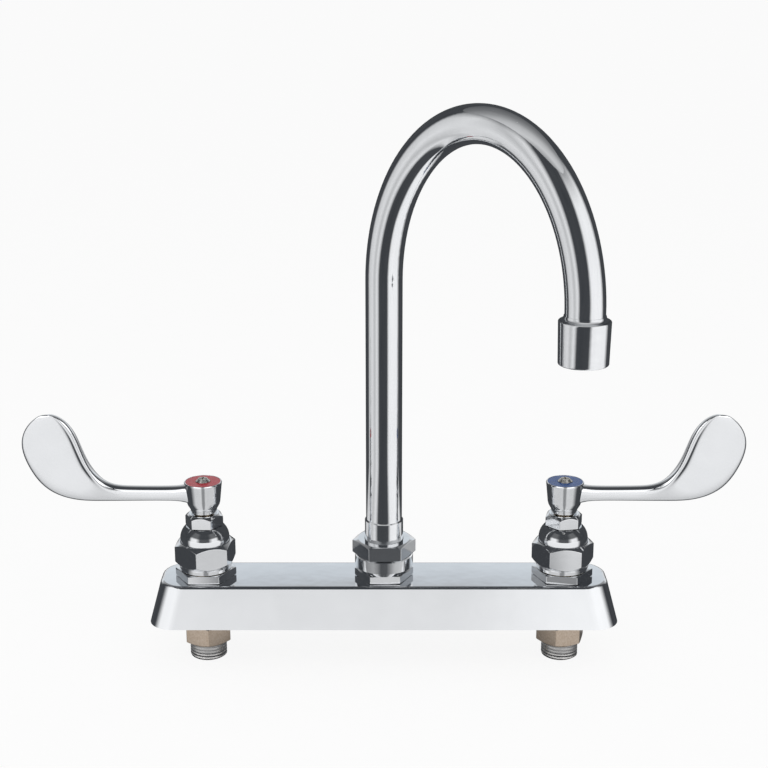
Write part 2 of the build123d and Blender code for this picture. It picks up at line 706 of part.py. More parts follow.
# Spout stem: grooved spigot in the post, flange, and the ferrule that the tube is soldered into
grooves = []
for height in o_ring_heights:
    grooves += [(spigot_r, height - o_ring_groove / 2), (o_ring_groove_r, height - o_ring_groove / 2)]
    grooves += [(o_ring_groove_r, height + o_ring_groove / 2), (spigot_r, height + o_ring_groove / 2)]
with BuildPart() as spout_stem:
    revolve(outline([
        (spigot_bore_r, spigot_bottom), (spigot_r, spigot_bottom), *grooves, (spigot_r, stem_flange_bottom),
        (stem_flange_r, stem_flange_bottom), (stem_flange_r, stem_flange_top), (ferrule_r, stem_flange_top),
        (ferrule_r, ferrule_top - ferrule_edge), (ferrule_r - ferrule_bevel, ferrule_top),
        (tube_r + solder_gap, ferrule_top), (tube_r + solder_gap, tube_foot - face_gap),
        (spigot_bore_r, tube_foot - face_gap)]), axis=upright())
save(spout_stem.part, "spout_stem")

# Two O-rings in the grooves of the spigot
with BuildPart() as spout_o_rings:
    with Locations(*[(0, 0, height) for height in o_ring_heights]):
        Torus(o_ring_groove_r + o_ring_r + face_gap, o_ring_r)
save(spout_o_rings.part, "spout_o_rings")

# Gooseneck tube
arch_plane = Plane(origin=(0, 0, 0), x_dir=(math.cos(swing), math.sin(swing), 0),
                   z_dir=(math.sin(swing), -math.cos(swing), 0))
with BuildPart() as gooseneck:
    with BuildLine(arch_plane):
        Line((0, tube_foot), (0, spring_height))
        EllipticalCenterArc((reach / 2, spring_height), reach / 2, rise, start_angle=0, arc_size=180)
        Line((reach, spring_height), (reach, sleeve_bottom))
    with BuildSketch(Plane.XY.offset(tube_foot)):
        Circle(tube_r)
        Circle(tube_bore_r, mode=Mode.SUBTRACT)
    sweep()
save(gooseneck.part, "gooseneck")

# Outlet sleeve: soldered to the tube, flared above and threaded below
with BuildPart() as outlet_sleeve:
    with BuildSketch(beside(outlet_x, outlet_y)):
        with BuildLine():
            Polyline((tube_r + sleeve_lip, sleeve_top), (tube_r + solder_gap, sleeve_top),
                     (tube_r + solder_gap, sleeve_bottom), (sleeve_thread_r, sleeve_bottom),
                     (sleeve_thread_r, flare_bottom), (sleeve_rim_r, flare_bottom))
            SagittaArc((sleeve_rim_r, flare_bottom), (tube_r + sleeve_lip, sleeve_top), flare_bulge)
        make_face()
    revolve(axis=upright(outlet_x, outlet_y))
save(outlet_sleeve.part, "outlet_sleeve")

# Aerator shell: slightly tapered, rounded at both ends, with a lip that carries the insert
with BuildPart() as aerator_shell:
    shell_bore_r = sleeve_thread_r + thread_gap
    revolve(outline([
        (aerator_lip_r, aerator_bottom), (aerator_bottom_r, aerator_bottom), (aerator_top_r, aerator_top),
        (shell_bore_r, aerator_top), (shell_bore_r, aerator_lip_top), (aerator_lip_r, aerator_lip_top)],
        outlet_x, outlet_y), axis=upright(outlet_x, outlet_y))
    outer_rims = aerator_shell.edges().filter_by(GeomType.CIRCLE).sort_by(SortBy.RADIUS)[-2:]
    fillet(outer_rims, aerator_edge)
save(aerator_shell.part, "aerator_shell")

# Rubber washer under the sleeve
with BuildPart() as aerator_washer:
    revolve(outline(ring(washer_bore_r, insert_r, screen_top, sleeve_bottom), outlet_x, outlet_y),
            axis=upright(outlet_x, outlet_y))
save(aerator_washer.part, "aerator_washer")

# Mesh screen
with BuildPart() as aerator_screen:
    with BuildSketch(Plane.XY.offset(insert_top)):
        with Locations((outlet_x, outlet_y)):
            Circle(insert_r)
            with GridLocations(screen_pitch, screen_pitch, screen_count, screen_count):
                Rectangle(screen_hole, screen_hole, mode=Mode.SUBTRACT)
    extrude(amount=screen_height)
save(aerator_screen.part, "aerator_screen")

# Plastic insert with a grid of straight cells
with BuildPart() as aerator_insert:
    with BuildSketch(Plane.XY.offset(aerator_lip_top)):
        with Locations((outlet_x, outlet_y)):
            Circle(insert_r)
            with GridLocations(cell_pitch, cell_pitch, cell_count, cell_count):
                Circle(cell_r, mode=Mode.SUBTRACT)
    extrude(amount=insert_height)
save(aerator_insert.part, "aerator_insert")
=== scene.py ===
# %% [markdown]
# # A chrome deck faucet
#
# The object is a faucet with two wrist blade handles and a gooseneck spout that swings. Its parts come
# from a CAD model that is packed with its joints. This lesson loads that model as a fixed frame, gives it
# finishes, and remodels the pieces whose edges and threads need more than the plain solids show.

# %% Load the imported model
import json
import math

import bmesh
import bpy
from mathutils import Matrix, Vector

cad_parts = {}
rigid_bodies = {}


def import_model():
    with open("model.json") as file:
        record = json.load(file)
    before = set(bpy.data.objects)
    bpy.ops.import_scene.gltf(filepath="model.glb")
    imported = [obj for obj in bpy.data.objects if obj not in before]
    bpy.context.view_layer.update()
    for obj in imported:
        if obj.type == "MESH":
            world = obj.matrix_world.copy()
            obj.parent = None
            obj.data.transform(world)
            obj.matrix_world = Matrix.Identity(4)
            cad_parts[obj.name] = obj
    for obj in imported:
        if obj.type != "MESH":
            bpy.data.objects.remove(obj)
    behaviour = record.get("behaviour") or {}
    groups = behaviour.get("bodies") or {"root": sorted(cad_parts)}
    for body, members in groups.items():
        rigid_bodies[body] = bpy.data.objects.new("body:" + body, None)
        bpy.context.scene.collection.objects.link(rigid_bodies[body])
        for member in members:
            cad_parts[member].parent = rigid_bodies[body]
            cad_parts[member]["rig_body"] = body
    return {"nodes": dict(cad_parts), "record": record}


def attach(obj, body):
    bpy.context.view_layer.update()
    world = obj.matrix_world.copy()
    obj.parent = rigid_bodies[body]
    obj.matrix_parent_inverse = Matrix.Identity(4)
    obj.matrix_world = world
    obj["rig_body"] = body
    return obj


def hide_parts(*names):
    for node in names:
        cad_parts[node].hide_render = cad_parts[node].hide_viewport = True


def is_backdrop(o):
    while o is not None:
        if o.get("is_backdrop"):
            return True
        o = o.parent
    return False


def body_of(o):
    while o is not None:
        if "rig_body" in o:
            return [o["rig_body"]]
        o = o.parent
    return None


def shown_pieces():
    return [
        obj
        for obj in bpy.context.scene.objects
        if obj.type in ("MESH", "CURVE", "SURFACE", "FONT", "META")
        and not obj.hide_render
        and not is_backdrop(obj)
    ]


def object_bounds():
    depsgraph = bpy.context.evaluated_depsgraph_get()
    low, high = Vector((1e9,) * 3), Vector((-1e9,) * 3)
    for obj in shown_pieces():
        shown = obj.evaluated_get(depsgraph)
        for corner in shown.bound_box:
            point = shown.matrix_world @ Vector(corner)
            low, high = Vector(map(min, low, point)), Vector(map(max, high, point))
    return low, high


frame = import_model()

cad_low, cad_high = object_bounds()
nodes = frame["nodes"]
slots = {part["node"]: part["material_slot"] for part in frame["record"]["subparts"]}
print("loaded", len(nodes), "pieces,", [round(v * 1000, 1) for v in cad_high - cad_low], "mm overall")

# %% [markdown]
# ## Camera
#
# The picture was taken from a little above, square on to the cover. A camera can be placed by eye, but
# here its place was worked out from the two hubs, the two inlets and the arch, whose sizes are known. It
# stands 0.77 m in front of the spout, looks 16 degrees down and has a square frame.

# %% Make the camera
camera_place = (0.0, -0.769, 0.3552)
look_down = math.radians(16)
field_of_view = math.radians(29.59)

camera_data = bpy.data.cameras.new("camera")
camera_data.sensor_width = 36.0
camera_data.angle = field_of_view
camera = bpy.data.objects.new("camera", camera_data)
camera.location = camera_place
camera.rotation_euler = (math.pi / 2 - look_down, 0.0, 0.0)
bpy.context.scene.collection.objects.link(camera)
bpy.context.scene.camera = camera
bpy.context.scene.view_settings.view_transform = "Standard"
print("camera lens", round(camera_data.lens, 1), "mm")

# %% [markdown]
# ## Nodes
#
# Every finish and every light below is a tree of nodes. They could be wired up by hand in the Shader Editor.
# In a script four small helpers do it: one adds a node, one does a sum, one makes a colour ramp, and one
# tells what is looked at directly from what only receives light.

# %% Node helpers
def new_node(tree, kind, **values):
    """A shader node whose sockets and settings are given by name."""
    node = tree.nodes.new(kind)
    for name, value in values.items():
        if name in node.inputs:
            node.inputs[name].default_value = value
        else:
            setattr(node, name, value)
    return node


def math_node(tree, operation, first, second=None):
    """One step of arithmetic on sockets or numbers."""
    node = tree.nodes.new("ShaderNodeMath")
    node.operation = operation
    for place, value in enumerate((first, second)):
        if value is None:
            continue
        if isinstance(value, (int, float)):
            node.inputs[place].default_value = value
        else:
            tree.links.new(value, node.inputs[place])
    return node.outputs[0]


def ramp_node(tree, factor, stops):
    """A colour ramp from (position, colour) stops."""
    node = tree.nodes.new("ShaderNodeValToRGB")
    while len(node.color_ramp.elements) > 1:
        node.color_ramp.elements.remove(node.color_ramp.elements[-1])
    for place, (position, colour) in enumerate(stops):
        element = node.color_ramp.elements[0] if place == 0 else node.color_ramp.elements.new(position)
        element.position = position
        element.color = (*colour, 1.0) if isinstance(colour, tuple) else (colour, colour, colour, 1.0)
    tree.links.new(factor, node.inputs[0])
    return node.outputs[0]


def seen_directly(tree):
    """One for what the camera, a reflection or glass looks at, nought for light on a matt surface."""
    paths = new_node(tree, "ShaderNodeLightPath")
    sharp = math_node(tree, "MAXIMUM", paths.outputs["Is Glossy Ray"], paths.outputs["Is Transmission Ray"])
    return math_node(tree, "MAXIMUM", paths.outputs["Is Camera Ray"], sharp)


print("made four node helpers")

# %% [markdown]
# ## Studio
#
# Polished metal has almost no colour of its own: it shows the room. So the room is designed first. The
# world is soft grey light. The camera, reflections and glass see it as plain white, through the Light Path
# node, so that the picture's background is white without more light on the object.

# %% World
world = bpy.data.worlds.new("studio")
bpy.context.scene.world = world
world.use_nodes = True
sky = world.node_tree
sky.nodes.clear()
soft_light = new_node(sky, "ShaderNodeBackground", Color=(0.64, 0.64, 0.64, 1.0), Strength=1.0)
white_ground = new_node(sky, "ShaderNodeBackground", Color=(1.0, 1.0, 1.0, 1.0), Strength=1.0)
sky_choice = new_node(sky, "ShaderNodeMixShader")
sky.links.new(seen_directly(sky), sky_choice.inputs[0])
sky.links.new(soft_light.outputs[0], sky_choice.inputs[1])
sky.links.new(white_ground.outputs[0], sky_choice.inputs[2])
sky.links.new(sky_choice.outputs[0], new_node(sky, "ShaderNodeOutputWorld").inputs["Surface"])
print("world has", len(sky.nodes), "nodes")

# %% [markdown]
# ## Lamps
#
# Two soft boxes stand left and right of the camera. They light the coloured rings, the screws and the wrist
# blades, and give the floor its shadow. A point lamp would do that too, but with a hard shadow, so these
# are a metre wide. Their power is low because they are close.

# %% Make the soft boxes
box_width = 1.0
box_power = 3.4
box_place = Vector((0.62, -0.80, 0.98))
box_aim = Vector((0, 0, 0.08))


def soft_box(name, side):
    """A square lamp on one side, aimed at the middle of the object."""
    data = bpy.data.lights.new(name, "AREA")
    data.shape = "SQUARE"
    data.size = box_width
    data.energy = box_power
    lamp = bpy.data.objects.new(name, data)
    lamp.location = (side * box_place.x, box_place.y, box_place.z)
    lamp.rotation_euler = (box_aim - lamp.location).to_track_quat("-Z", "Y").to_euler()
    bpy.context.scene.collection.objects.link(lamp)
    return lamp


soft_boxes = [soft_box("left_soft_box", -1), soft_box("right_soft_box", 1)]
print("made", len(soft_boxes), "soft boxes")

# %% [markdown]
# ## Floor
#
# The floor is pale and lies where the inlets end. It is seen nearly white, like the world behind it, but
# a tenth of its colour is still ordinary matt paint, so that the soft shadow of the object stays on it.

# %% Make the floor
def to_object(name, mesh):
    """Turns a finished bmesh into an object at the origin."""
    data = bpy.data.meshes.new(name)
    mesh.to_mesh(data)
    mesh.free()
    made = bpy.data.objects.new(name, data)
    bpy.context.scene.collection.objects.link(made)
    return made


floor_height = cad_low.z
floor_reach = 40.0
white_share = 0.9
floor_mesh = bmesh.new()
bmesh.ops.create_grid(floor_mesh, x_segments=1, y_segments=1, size=floor_reach)
bmesh.ops.translate(floor_mesh, vec=(0, 0, floor_height), verts=floor_mesh.verts)
floor = to_object("floor", floor_mesh)
pale = bpy.data.materials.new("pale_floor")
pale.use_nodes = True
tree = pale.node_tree
tree.nodes.clear()
speckle = new_node(tree, "ShaderNodeTexNoise", Scale=40.0, Detail=3.0)
tree.links.new(new_node(tree, "ShaderNodeTexCoord").outputs["Object"], speckle.inputs["Vector"])
matt = new_node(tree, "ShaderNodeBsdfDiffuse")
tree.links.new(ramp_node(tree, speckle.outputs[0], [(0.3, 0.88), (0.7, 0.91)]), matt.inputs["Color"])
white = new_node(tree, "ShaderNodeEmission", Strength=1.0)
blend = new_node(tree, "ShaderNodeMixShader")
tree.links.new(math_node(tree, "MULTIPLY", seen_directly(tree), white_share), blend.inputs[0])
tree.links.new(matt.outputs[0], blend.inputs[1])
tree.links.new(white.outputs[0], blend.inputs[2])
tree.links.new(blend.outputs[0], new_node(tree, "ShaderNodeOutputMaterial").inputs["Surface"])
floor.data.materials.append(pale)
floor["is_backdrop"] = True
print("floor at", round(floor_height * 1000, 1), "mm")

# %% [markdown]
# ## Dark tent
#
# Chrome in an all-white room looks like paper. A photographer draws its edges with black cloth, so here a
# dark tent with a low cone for a roof stands around the object. It could be built from flat cards, but one
# outline of four points, spun about the spout's axis, has no corners to show up in the metal. Only
# reflections see it.

# %% Make the tent
tent_radius = 1.5
wall_height = 1.9
roof_height = 2.6
floor_hole = 0.01
roof_hole = 0.02
tent_steps = 72
sheet_gap = 0.0005
roof_drop = 0.002


def tent_sheet(name, inside, outline):
    """Spins an outline of (radius, height over the floor) about the spout's axis. Only reflections see it."""
    sheet = bmesh.new()
    corners = [sheet.verts.new((0, inside - radius, floor_height + height + inside)) for radius, height in outline]
    runs = [sheet.edges.new(pair) for pair in zip(corners, corners[1:])]
    bmesh.ops.spin(sheet, geom=[*corners, *runs], cent=(0, 0, 0), axis=(0, 0, 1), steps=tent_steps,
                   angle=math.tau, use_merge=True, use_duplicate=False)
    made = to_object(name, sheet)
    made.visible_camera = False
    made.visible_diffuse = False
    made.visible_shadow = False
    made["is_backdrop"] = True
    return made


def light_of(name, see_through):
    """A material of plain light, on black cloth or on nothing, and the node that takes its colour."""
    made = bpy.data.materials.new(name)
    made.use_nodes = True
    made.cycles.emission_sampling = "NONE"
    tree = made.node_tree
    tree.nodes.clear()
    glow = new_node(tree, "ShaderNodeEmission", Strength=1.0)
    surface = glow.outputs[0]
    if see_through:
        both = new_node(tree, "ShaderNodeAddShader")
        tree.links.new(glow.outputs[0], both.inputs[0])
        tree.links.new(new_node(tree, "ShaderNodeBsdfTransparent").outputs[0], both.inputs[1])
        surface = both.outputs[0]
    tree.links.new(surface, new_node(tree, "ShaderNodeOutputMaterial").inputs["Surface"])
    return made, tree, glow


roof = [(tent_radius, wall_height), (roof_hole, roof_height)]
dark_tent = tent_sheet("dark_tent", sheet_gap, [(floor_hole, 0), (tent_radius, 0), *roof])
cloth, tree, glow = light_of("dark_cloth", False)
weave = new_node(tree, "ShaderNodeTexNoise", Scale=3.0, Detail=2.0)
tree.links.new(new_node(tree, "ShaderNodeTexCoord").outputs["Object"], weave.inputs["Vector"])
shades = [(0.3, (0.050, 0.054, 0.060)), (0.7, (0.064, 0.068, 0.074))]
tree.links.new(ramp_node(tree, weave.outputs[0], shades), glow.inputs["Color"])
dark_tent.data.materials.append(cloth)
print("dark tent", tent_radius, "m in radius")

# %% [markdown]
# ## Panels of light
#
# Inside the tent hang panels of light. Each one is a see-through sheet along the floor and up the wall with a
# pattern of its own: a brightness by the angle from the camera's side, times a brightness by the way out. A
# picture of a real studio could be wrapped around the scene instead, but then nothing in it could be moved.
# Cycles looks through only a few sheets in a row, so a sheet whose pattern is measured from the spout reaches
# no further than that pattern does.

# %% A helper for panels
valves = {"hot": -101.6, "cold": 101.6}
valve_reach = valves["cold"] / 1000
full_way = tent_radius + wall_height
narrow_until, wide_from = 0.22, 0.34
panels = {}


def sheet_outline(first, last):
    """The run of a sheet from one way out to another, along the floor and up the wall."""
    ends = [(max(way, floor_hole), 0) if way < tent_radius else (tent_radius, way - tent_radius)
            for way in (first, last)]
    if first < tent_radius < last:
        ends.insert(1, (tent_radius, 0))
    return ends


def share_of_turn(tree, x, y, radius, spread, setback, near):
    """The angle from the camera's side, as a share of a full turn. Spread measures it from a line across the
    middle, setback from a point behind it, and near narrows it close to the spout."""
    held = math_node(tree, "MAXIMUM", math_node(tree, "MINIMUM", x, spread), -spread)
    forward = math_node(tree, "SUBTRACT", math_node(tree, "MULTIPLY", y, -1.0), setback)
    turn = math_node(tree, "ARCTAN2", math_node(tree, "SUBTRACT", x, held), forward)
    close = ramp_node(tree, radius, [(narrow_until, near), (wide_from, 0.0)])
    turn = math_node(tree, "MULTIPLY", turn, math_node(tree, "SUBTRACT", 1.0, close))
    return math_node(tree, "ADD", math_node(tree, "MULTIPLY", turn, 0.5 / math.pi), 0.5)


def light_panel(name, group, angles, way_out, spread=0.0, setback=0.0, near=0.0, straight=False, twin=False):
    """A sheet of light for a group of pieces, from (degrees, level) and (metres along the sheet, level) stops.
    Twin measures the angles outward from either valve, and straight measures the way to the front alone."""
    first, last = (0.0, full_way) if straight else (way_out[0][0], way_out[-1][0])
    made = tent_sheet(name, sheet_gap * (len(panels) + 3), sheet_outline(first, last))
    shine, tree, glow = light_of(name, True)
    coords = new_node(tree, "ShaderNodeTexCoord").outputs["Object"]
    spot = new_node(tree, "ShaderNodeSeparateXYZ")
    tree.links.new(coords, spot.inputs[0])
    x, y = spot.outputs["X"], spot.outputs["Y"]
    if twin:
        x = math_node(tree, "SUBTRACT", math_node(tree, "ABSOLUTE", x), valve_reach)
    flat = new_node(tree, "ShaderNodeVectorMath", operation="MULTIPLY")
    flat.inputs[1].default_value = (1.0, 1.0, 0.0)
    tree.links.new(coords, flat.inputs[0])
    length = new_node(tree, "ShaderNodeVectorMath", operation="LENGTH")
    tree.links.new(flat.outputs[0], length.inputs[0])
    radius = length.outputs["Value"]
    around = share_of_turn(tree, x, y, radius, spread, setback, near)
    by_angle = ramp_node(tree, around, [((degrees + 180.0) / 360.0, level) for degrees, level in angles])
    out = math_node(tree, "MULTIPLY", y, -1.0) if straight else radius
    climb = math_node(tree, "ADD", out, math_node(tree, "SUBTRACT", spot.outputs["Z"], floor_height))
    share = math_node(tree, "DIVIDE", climb, full_way)
    by_way = ramp_node(tree, share, [(way / full_way, level) for way, level in way_out])
    product = new_node(tree, "ShaderNodeMix", data_type="RGBA", blend_type="MULTIPLY", Factor=1.0)
    tree.links.new(by_angle, product.inputs["A"])
    tree.links.new(by_way, product.inputs["B"])
    tree.links.new(product.outputs["Result"], glow.inputs["Color"])
    made.data.materials.append(shine)
    panels[made] = group


print("a sheet runs", full_way, "m from the spout's foot to the top of the wall")

# %% [markdown]
# ## Light on the spout
#
# A bright tube is photographed between two tall cards: it is light at both sides, with a dark middle and
# dark edges. The angles below are where the cards stand. The swivel nut and the collar under the spout are
# duller, so they get the same pattern at a lower level.

# %% Panels for the spout and its nut
light_panel(
    "spout_panels", "spout",
    [(-114, 0.0), (-102, 0.60), (-76, 0.74), (-60, 0.52), (-46, 0.78), (-40, 0.66), (-29, 0.0),
     (18, 0.0), (30, 0.90), (50, 0.96), (86, 0.92), (104, 0.0)],
    [(0.0, 0.95), (1.5, 1.0), (2.6, 0.95), (full_way, 0.3)], near=0.22)
light_panel(
    "swivel_panel", "swivel",
    [(-160, 0.0), (-128, 0.12), (-100, 0.18), (-72, 0.22), (-40, 0.32), (-24, 0.20), (-12, 0.03),
     (10, 0.03), (24, 0.22), (40, 0.45), (72, 0.58), (112, 0.38), (135, 0.32), (160, 0.0)],
    [(0.0, 1.0), (2.6, 1.0), (full_way, 0.3)])
print("made", len(panels), "sheets so far")

# %% [markdown]
# ## Light on cover, nuts and handles
#
# The fixed pieces are the other way round: light in front, with dark sides. The front of the cover is one
# long flat, so its panel is measured from a line and not from a point. What lies flat shows the wall behind
# the object, which is a blue-grey light that fades upward, and the wrist blades need a pale floor behind
# them, or else their backs would be black.

# %% Panels for cover, nuts and handles
light_panel(
    "front_panel", "base",
    [(-80, 0.0), (-66, 0.40), (-50, 0.90), (-19, 0.95), (-13, 0.35), (0, 0.35), (8, 1.0), (48, 0.95),
     (62, 0.45), (76, 0.0)],
    [(0.0, 0.66), (0.16, 0.64), (0.3, 0.88), (1.9, 0.95), (2.4, 0.90), (2.7, 0.0)], straight=True, twin=True)
light_panel(
    "cover_panel", "cover",
    [(-100, 0.0), (-88, 0.45), (-74, 0.98), (-30, 1.0), (-6, 0.89), (1, 0.88), (7, 1.06), (74, 1.06),
     (88, 0.45), (100, 0.0)],
    [(0.0, 0.66), (0.2, 0.84), (0.5, 0.97), (1.9, 1.0), (2.5, 0.80), (2.7, 0.0)], spread=0.1, straight=True)
light_panel(
    "back_panel", "back",
    [(-180, 1.0), (-136, 1.0), (-116, 0.0), (116, 0.0), (136, 1.0), (180, 1.0)],
    [(1.5, 0.08), (1.65, 0.34), (1.95, 0.72), (2.16, (0.66, 0.71, 0.75)), (2.20, (0.56, 0.60, 0.64)),
     (2.23, 0.36), (2.6, 0.22), (full_way, 0.1)])
light_panel(
    "rear_panel", "rear",
    [(-180, 1.0), (-130, 0.9), (-114, 0.0), (114, 0.0), (130, 0.9), (180, 1.0)],
    [(0.0, 0.50), (1.3, 0.65), (1.48, 0.0)])
print("made", len(panels), "sheets so far")

# %% [markdown]
# ## Light on inlets and domes
#
# The inlets stand just over the floor, so what they show is the floor close by. It is dark right at the
# thread, which draws the thread's sides, and lighter further out. The dome over each valve shows two cards
# that run together at its foot, and the domes' own panels give that shape.

# %% Panels for inlets and domes
light_panel(
    "inlet_panel", "inlet",
    [(-120, 0.05), (-96, 0.24), (-78, 0.50), (-60, 0.68), (-45, 0.66), (-25, 0.50), (15, 0.78), (45, 0.72),
     (66, 0.68), (90, 0.30), (120, 0.0)],
    [(0.0, 0.10), (0.0133, 0.34), (0.0267, 0.97), (1.5, 0.97), (2.6, 0.6), (full_way, 0.2)],
    setback=-0.02, straight=True, twin=True)
light_panel(
    "dome_panel", "dome",
    [(-70, 0.0), (-58, 0.88), (-36, 0.95), (-16, 0.04), (16, 0.04), (36, 0.95), (58, 0.88), (70, 0.0)],
    [(1.30, 0.0), (1.55, 0.95), (1.95, 1.0), (2.2, 0.10), (full_way, 0.10)], twin=True)
light_panel(
    "dome_foot_panel", "dome",
    [(-78, 0.0), (-62, 1.0), (62, 1.0), (78, 0.0)],
    [(0.0, 0.85), (1.30, 1.0), (1.55, 0.0)], twin=True)
light_panel(
    "inlet_back_panel", "inlet",
    [(-180, 0.55), (-112, 0.45), (-96, 0.0), (96, 0.0), (112, 0.45), (180, 0.55)],
    [(0.0, 0.9), (1.5, 0.9), (1.9, 0.0)], setback=-0.01, twin=True)
print("made", len(panels), "sheets so far")

# %% [markdown]
# ## Light from the roof
#
# The top of the arch and the rim of the outlet look straight up. The roof over the spout is graded from
# front to back, so that the arch turns from light to dark over its top without a hard line.

# %% Make the roof panel
roof_panel = tent_sheet("roof_panel", -roof_drop, roof)
shine, tree, glow = light_of("roof_panel", True)
spot = new_node(tree, "ShaderNodeSeparateXYZ")
tree.links.new(new_node(tree, "ShaderNodeTexCoord").outputs["Object"], spot.inputs[0])
back = math_node(tree, "ADD", math_node(tree, "DIVIDE", spot.outputs["Y"], 2 * tent_radius), 0.5)
levels = [(0.0, 0.30), (0.16, 0.60), (0.33, 0.48), (0.5, 0.26), (0.7, 0.13), (1.0, 0.05)]
tree.links.new(ramp_node(tree, back, levels), glow.inputs["Color"])
roof_panel.data.materials.append(shine)
panels[roof_panel] = "spout"
print("made", len(panels), "sheets of light")

# %% [markdown]
# ## Chrome
#
# Chrome plate copies the surface below it. Cast pieces are slightly wavy, drawn tube has faint lines along
# it and turned pieces have fine rings, so there are three finishes. Each is a metal whose roughness is
# broken up by a fine noise and whose normals are moved a little by a bump. Brass and steel are made the same
# way, only duller. All of them read Object coordinates, because those stay with the piece when it moves.

# %% Metal finishes
def metal(name, colour, rough, wave_scale, wave_height, stretch=(1.0, 1.0, 1.0), tint=0.03):
    """A metal with a noisy roughness, a slightly mottled colour and a soft bump."""
    made = bpy.data.materials.new(name)
    made.use_nodes = True
    tree = made.node_tree
    surface = tree.nodes["Principled BSDF"]
    surface.inputs["Metallic"].default_value = 1.0
    place = new_node(tree, "ShaderNodeMapping")
    place.inputs["Scale"].default_value = stretch
    tree.links.new(new_node(tree, "ShaderNodeTexCoord").outputs["Object"], place.inputs["Vector"])
    fine = new_node(tree, "ShaderNodeTexNoise", Scale=1400.0, Detail=4.0, Roughness=0.6)
    tree.links.new(place.outputs[0], fine.inputs["Vector"])
    broad = new_node(tree, "ShaderNodeTexNoise", Scale=wave_scale, Detail=2.0)
    tree.links.new(place.outputs[0], broad.inputs["Vector"])
    low, high = rough
    tree.links.new(ramp_node(tree, fine.outputs[0], [(0.3, low), (0.72, high)]), surface.inputs["Roughness"])
    dull = tuple(max(0.0, part - tint) for part in colour)
    mottle = ramp_node(tree, broad.outputs[0], [(0.3, dull), (0.7, colour)])
    tree.links.new(mottle, surface.inputs["Base Color"])
    bump = new_node(tree, "ShaderNodeBump", Strength=1.0, Distance=wave_height)
    tree.links.new(broad.outputs[0], bump.inputs["Height"])
    tree.links.new(bump.outputs[0], surface.inputs["Normal"])
    return made


chrome_colour = (0.86, 0.87, 0.885)
cast_chrome = metal("cast_chrome", chrome_colour, (0.03, 0.08), 60.0, 0.00004)
drawn_chrome = metal("drawn_chrome", chrome_colour, (0.03, 0.07), 220.0, 0.000012, (1.0, 1.0, 0.15))
turned_chrome = metal("turned_chrome", chrome_colour, (0.03, 0.09), 160.0, 0.000015, (1.0, 1.0, 2.5))
cast_brass = metal("cast_brass", (0.60, 0.47, 0.27), (0.35, 0.55), 500.0, 0.00006, tint=0.12)
raw_brass = metal("raw_brass", (0.50, 0.42, 0.32), (0.28, 0.45), 350.0, 0.00003, tint=0.10)
inlet_metal = metal("inlet_metal", (0.60, 0.50, 0.41), (0.24, 0.40), 900.0, 0.00001, tint=0.10)
steel = metal("plain_steel", (0.74, 0.72, 0.68), (0.22, 0.40), 400.0, 0.00002, tint=0.08)
print("made seven metals")

# %% [markdown]
# ## Plated thread
#
# The inlets are plated on the thread and bare on the hexagon. One material does both: the height on the
# piece, read from its Object coordinates, chooses between the brass colour and the plated one.

# %% Plate the inlet's thread
inlet_reach = 0.03
tree = inlet_metal.node_tree
surface = tree.nodes["Principled BSDF"]
bare = surface.inputs["Base Color"].links[0].from_socket
spot = new_node(tree, "ShaderNodeSeparateXYZ")
tree.links.new(new_node(tree, "ShaderNodeTexCoord").outputs["Object"], spot.inputs[0])
lift = math_node(tree, "DIVIDE", math_node(tree, "ADD", spot.outputs["Z"], inlet_reach), inlet_reach)
plated = new_node(tree, "ShaderNodeMix", data_type="RGBA")
plated.inputs["A"].default_value = (0.60, 0.59, 0.58, 1.0)
tree.links.new(bare, plated.inputs["B"])
tree.links.new(ramp_node(tree, lift, [(0.385, 0.0), (0.395, 1.0)]), plated.inputs["Factor"])
tree.links.new(plated.outputs["Result"], surface.inputs["Base Color"])
print("the plating ends 18.2 mm below the deck")

# %% [markdown]
# ## Plastics, rubber and ceramic
#
# The index rings are glossy moulded plastic, red for hot and blue for cold. The seals, discs and washers
# are hidden inside, but they are seen when a maker takes the faucet apart, so they get finishes as well.

# %% Moulded finishes
dull_share = 0.82


def moulded(name, colour, rough, grain, depth):
    """A non-metal with mottled colour, uneven gloss and a fine grain."""
    made = bpy.data.materials.new(name)
    made.use_nodes = True
    tree = made.node_tree
    surface = tree.nodes["Principled BSDF"]
    noise = new_node(tree, "ShaderNodeTexNoise", Scale=grain, Detail=4.0)
    tree.links.new(new_node(tree, "ShaderNodeTexCoord").outputs["Object"], noise.inputs["Vector"])
    dull = tuple(part * dull_share for part in colour)
    mottle = ramp_node(tree, noise.outputs[0], [(0.35, dull), (0.65, colour)])
    tree.links.new(mottle, surface.inputs["Base Color"])
    low, high = rough
    gloss = ramp_node(tree, noise.outputs[0], [(0.3, low), (0.7, high)])
    tree.links.new(gloss, surface.inputs["Roughness"])
    bump = new_node(tree, "ShaderNodeBump", Strength=1.0, Distance=depth)
    tree.links.new(noise.outputs[0], bump.inputs["Height"])
    tree.links.new(bump.outputs[0], surface.inputs["Normal"])
    return made


index_red = moulded("index_red", (0.46, 0.040, 0.055), (0.18, 0.32), 700.0, 0.00002)
index_blue = moulded("index_blue", (0.030, 0.085, 0.27), (0.18, 0.32), 700.0, 0.00002)
rubber = moulded("rubber", (0.030, 0.030, 0.032), (0.6, 0.8), 900.0, 0.00004)
ceramic = moulded("ceramic", (0.86, 0.85, 0.81), (0.25, 0.35), 600.0, 0.00001)
white_plastic = moulded("white_plastic", (0.84, 0.84, 0.82), (0.3, 0.45), 600.0, 0.00002)
print("made five moulded finishes")

# %% [markdown]
# ## Finishes on the pieces
#
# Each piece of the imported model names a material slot. Most slots have one finish. Chrome has three, so cast
# and drawn pieces are picked by name and the rest is turned.

